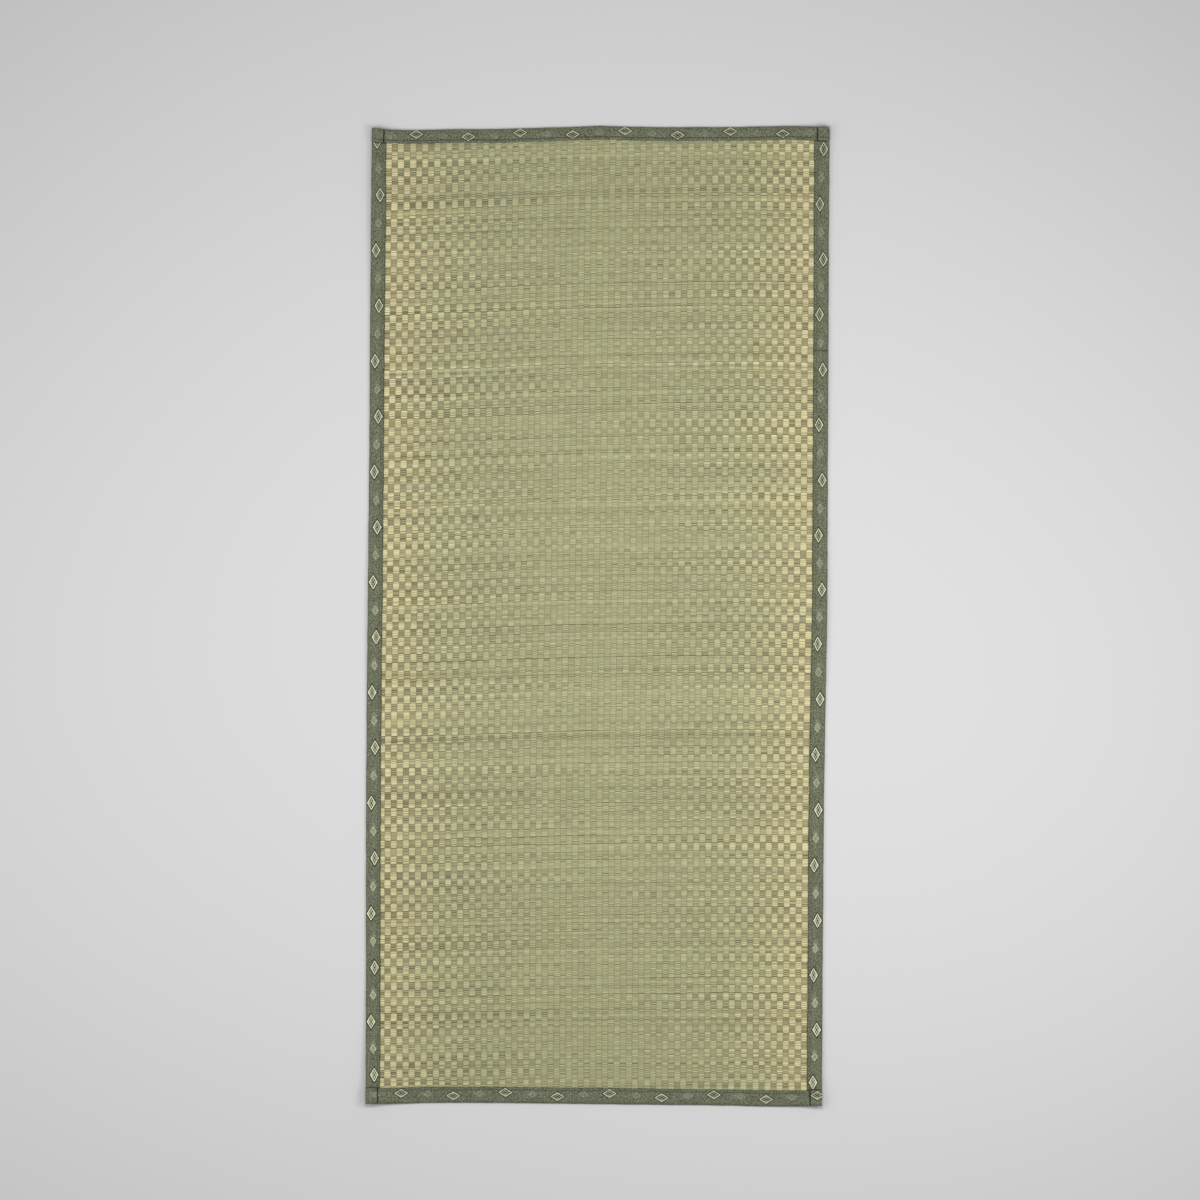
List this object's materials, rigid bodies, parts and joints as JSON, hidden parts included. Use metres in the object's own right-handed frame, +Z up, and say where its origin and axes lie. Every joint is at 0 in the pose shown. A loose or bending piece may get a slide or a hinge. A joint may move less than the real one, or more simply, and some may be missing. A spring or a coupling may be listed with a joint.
{
  "type": "rush floor mat",
  "caption": "Flat woven rush floor mat in a checker weave, bound on all four edges with folded cloth tape whose tails are turned back at the corners",
  "frame": {"origin": "middle of the mat on the floor it lies on", "axes": "X across the mat, Y along it, +Y to the picture's upper end, Z up out of its face"},
  "size_m": [0.7104, 1.5012, 0.0166],
  "materials": {
    "rush": "dry woven rush, satin",
    "tape": "matt woven cotton tape with small pale diamonds"
  },
  "bodies": {
    "root": {"rush_panel": "rush", "side_tape_left": "tape", "side_tape_right": "tape", "end_tape_near": "tape", "end_tape_far": "tape"}
  },
  "joints": []
}
